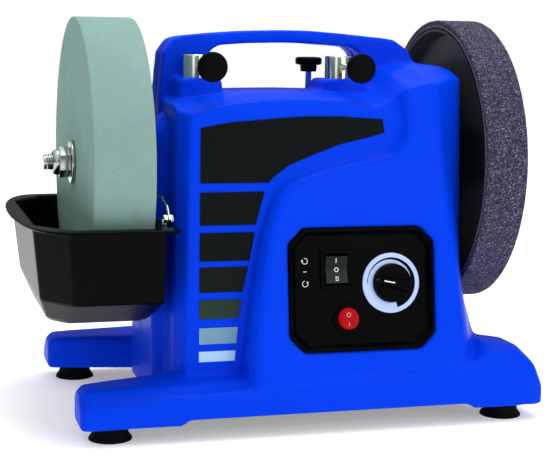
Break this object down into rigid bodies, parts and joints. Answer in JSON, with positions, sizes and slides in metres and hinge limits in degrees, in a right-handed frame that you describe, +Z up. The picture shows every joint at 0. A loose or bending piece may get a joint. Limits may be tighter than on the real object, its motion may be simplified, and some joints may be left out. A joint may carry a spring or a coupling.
{
  "type": "wet grinding sharpener",
  "caption": "Bench wet sharpener: upright blue housing with carrying handle, grinding wheel in a lift-off water tray, honing wheel, tool-support sleeves, speed and direction controls.",
  "frame": {"origin": "on the bench, under the middle of the machine's overall box", "axes": "+X from the grinding wheel to the honing wheel along the spindle, +Y from the control side to the rear, +Z up"},
  "size_m": [0.3626, 0.22, 0.2765],
  "materials": {
    "blue_plastic": "satin moulded",
    "black_plastic": "fine grain",
    "rubber": "matt",
    "steel": "bright",
    "chrome": "polished",
    "label_film": "printed film",
    "red_plastic": "gloss",
    "dial_plate": "satin",
    "circuit_board": "lacquered",
    "motor_grey": "satin",
    "grinding_stone": "porous vitrified abrasive",
    "honing_band": "granular"
  },
  "bodies": {
    "machine_frame": {"front_housing": "blue_plastic", "rear_housing": "blue_plastic", "bottom_plate": "black_plastic", "control_panel": "black_plastic", "direction_bezel": "black_plastic", "power_bezel": "black_plastic", "cord_gland": "black_plastic", "foot_front_left": "rubber", "foot_front_right": "rubber", "foot_rear_left": "rubber", "foot_rear_right": "rubber", "drive_belt": "rubber", "foot_screw_front_left": "steel", "foot_screw_front_right": "steel", "foot_screw_rear_left": "steel", "foot_screw_rear_right": "steel", "housing_screw_1": "steel", "housing_screw_2": "steel", "housing_screw_3": "steel", "housing_screw_4": "steel", "potentiometer": "steel", "bearing_left": "steel", "bearing_right": "steel", "upright_left": "steel", "upright_right": "steel", "motor_bracket": "steel", "label_film": "label_film", "dial_plate": "dial_plate", "control_board": "circuit_board", "motor": "motor_grey", "front_sleeve_left": "chrome", "front_sleeve_right": "chrome", "rear_sleeve_left": "chrome", "rear_sleeve_right": "chrome"},
    "wheel_spindle": {"spindle": "steel", "stone_wheel": "grinding_stone", "honing_hub": "black_plastic", "honing_band": "honing_band", "nut_left": "steel", "nut_right": "steel", "washer_left": "steel", "washer_right": "steel", "flange_left": "steel", "flange_right": "steel", "driven_pulley": "black_plastic"},
    "tray": {"water_tray": "black_plastic", "clip_screw_front": "chrome", "clip_screw_rear": "chrome"},
    "direction_rocker_body": {"direction_rocker": "black_plastic"},
    "power_rocker_body": {"power_rocker": "red_plastic"},
    "speed_knob_body": {"speed_knob": "black_plastic"},
    "motor_pulley_body": {"motor_pulley": "black_plastic"},
    "front_clamp_left_body": {"front_clamp_left": "black_plastic"},
    "front_clamp_right_body": {"front_clamp_right": "black_plastic"},
    "rear_clamp_left_body": {"rear_clamp_left": "black_plastic"},
    "rear_clamp_right_body": {"rear_clamp_right": "black_plastic"},
    "tray_clip_front_body": {"tray_clip_front": "chrome"},
    "tray_clip_rear_body": {"tray_clip_rear": "chrome"}
  },
  "joints": [
    {"name": "spindle_spin", "type": "hinge", "parent": "machine_frame", "child": "wheel_spindle", "pos_m": [0.01575, 0, 0.174], "axis": [1, 0, 0], "continuous": true},
    {"name": "motor_spin", "type": "hinge", "parent": "machine_frame", "child": "motor_pulley_body", "pos_m": [-0.03425, 0, 0.08], "axis": [1, 0, 0], "continuous": true},
    {"name": "speed_knob_turn", "type": "hinge", "parent": "machine_frame", "child": "speed_knob_body", "pos_m": [0.06575, -0.09745, 0.09897], "axis": [0, 0.9903, -0.1392], "range_deg": [-10, 250]},
    {"name": "direction_rocker_tilt", "type": "hinge", "parent": "machine_frame", "child": "direction_rocker_body", "pos_m": [0.02675, -0.0916, 0.10824], "axis": [1, 0, 0], "range_deg": [-10, 10]},
    {"name": "power_rocker_tilt", "type": "hinge", "parent": "machine_frame", "child": "power_rocker_body", "pos_m": [0.03475, -0.09627, 0.07507], "axis": [1, 0, 0], "range_deg": [0, 16]},
    {"name": "tray_lower", "type": "slide", "parent": "machine_frame", "child": "tray", "axis": [0, 0, 1], "range_m": [-0.024, 0]},
    {"name": "tray_clip_front_swing", "type": "hinge", "parent": "tray", "child": "tray_clip_front_body", "pos_m": [-0.08545, -0.086, 0.144], "axis": [1, 0, 0], "range_deg": [0, 70]},
    {"name": "tray_clip_rear_swing", "type": "hinge", "parent": "tray", "child": "tray_clip_rear_body", "pos_m": [-0.08545, 0.086, 0.144], "axis": [-1, 0, 0], "range_deg": [0, 70]},
    {"name": "front_clamp_left_turn", "type": "hinge", "parent": "machine_frame", "child": "front_clamp_left_body", "pos_m": [-0.05525, -0.06, 0.242], "axis": [0, -1, 0], "range_deg": [0, 720]},
    {"name": "rear_clamp_left_turn", "type": "hinge", "parent": "machine_frame", "child": "rear_clamp_left_body", "pos_m": [-0.05525, 0.044, 0.23], "axis": [0, 0, 1], "range_deg": [0, 720]},
    {"name": "front_clamp_right_turn", "type": "hinge", "parent": "machine_frame", "child": "front_clamp_right_body", "pos_m": [0.04725, -0.06, 0.242], "axis": [0, -1, 0], "range_deg": [0, 720]},
    {"name": "rear_clamp_right_turn", "type": "hinge", "parent": "machine_frame", "child": "rear_clamp_right_body", "pos_m": [0.04725, 0.044, 0.23], "axis": [0, 0, 1], "range_deg": [0, 720]}
  ],
  "couplings": [
    {"joint": "motor_spin", "follows": "spindle_spin", "ratio": 3}
  ]
}
